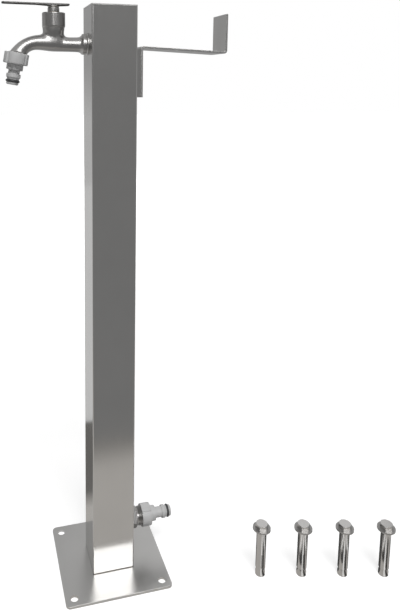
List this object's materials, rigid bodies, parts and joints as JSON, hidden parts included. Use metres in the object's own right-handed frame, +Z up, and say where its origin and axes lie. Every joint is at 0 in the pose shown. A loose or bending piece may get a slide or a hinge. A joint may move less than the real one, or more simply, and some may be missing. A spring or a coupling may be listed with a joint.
{
  "type": "garden standpipe",
  "caption": "Square steel column on a fixing plate with a quarter-turn lever tap, a rear hose hook, a low quick-coupling inlet and loose expansion anchors.",
  "frame": {"origin": "centre of the base plate's underside, on the ground", "axes": "+Z up along the column, -X towards the tap, +X towards the hook and the inlet"},
  "size_m": [0.5295, 0.2133, 0.801],
  "materials": {
    "brushed_steel": "brushed along the column",
    "polished_steel": "polished stainless steel",
    "grey_plastic": "moulded, light grey",
    "rubber": "matt black",
    "brass": "machined",
    "ceramic": "lapped white ceramic"
  },
  "bodies": {
    "stand": {"base_plate": "brushed_steel", "column_tube": "brushed_steel", "top_cap": "brushed_steel", "hook_bracket": "brushed_steel", "hose_hook": "brushed_steel", "hook_screws": "polished_steel", "hook_nuts": "polished_steel", "tap_rosette": "polished_steel", "tap_wall_seal": "rubber", "tap_body": "polished_steel", "seat_seal": "rubber", "cartridge_body": "brass", "cartridge_seal": "rubber", "cartridge_nut": "brass", "fixed_disc": "ceramic", "inlet_wall_washer": "rubber", "inlet_union": "polished_steel", "inlet_locknut": "brass", "inlet_elbow": "brass", "riser_pipe": "brushed_steel", "riser_seals": "rubber", "riser_nuts": "brass", "tap_elbow": "brass", "anchor_bolts": "polished_steel", "anchor_washers": "polished_steel", "anchor_sleeves": "polished_steel", "anchor_cones": "polished_steel"},
    "handle": {"turning_disc": "ceramic", "tap_spindle": "brass", "spindle_rings": "rubber", "spindle_clip": "polished_steel", "handle_hub": "polished_steel", "handle_lever": "polished_steel", "handle_screw": "polished_steel"},
    "outlet_tail": {"outlet_washer": "rubber", "outlet_nipple": "grey_plastic", "outlet_ring": "rubber"},
    "outlet_collar": {"outlet_nut": "grey_plastic"},
    "inlet_tail": {"inlet_washer": "rubber", "inlet_nipple": "grey_plastic", "inlet_ring": "rubber"},
    "inlet_collar": {"inlet_nut": "grey_plastic"}
  },
  "joints": [
    {"name": "handle_turn", "type": "hinge", "parent": "stand", "child": "handle", "pos_m": [-0.074, 0, 0.7985], "axis": [0, 0, 1], "range_deg": [0, 90]},
    {"name": "outlet_draw", "type": "slide", "parent": "stand", "child": "outlet_tail", "axis": [-0.1736, 0, -0.9848], "range_m": [0, 0.0091]},
    {"name": "outlet_nut_turn", "type": "hinge", "parent": "outlet_tail", "child": "outlet_collar", "pos_m": [-0.1226, 0, 0.7291], "axis": [-0.1736, 0, -0.9848], "range_deg": [0, 1800]},
    {"name": "inlet_draw", "type": "slide", "parent": "stand", "child": "inlet_tail", "axis": [1, 0, 0], "range_m": [0, 0.0091]},
    {"name": "inlet_nut_turn", "type": "hinge", "parent": "inlet_tail", "child": "inlet_collar", "pos_m": [0.057, 0, 0.06], "axis": [1, 0, 0], "range_deg": [0, 1800]}
  ],
  "couplings": [
    {"joint": "outlet_draw", "follows": "outlet_nut_turn", "m_per_rad": 0.00028871},
    {"joint": "inlet_draw", "follows": "inlet_nut_turn", "m_per_rad": 0.00028871}
  ]
}
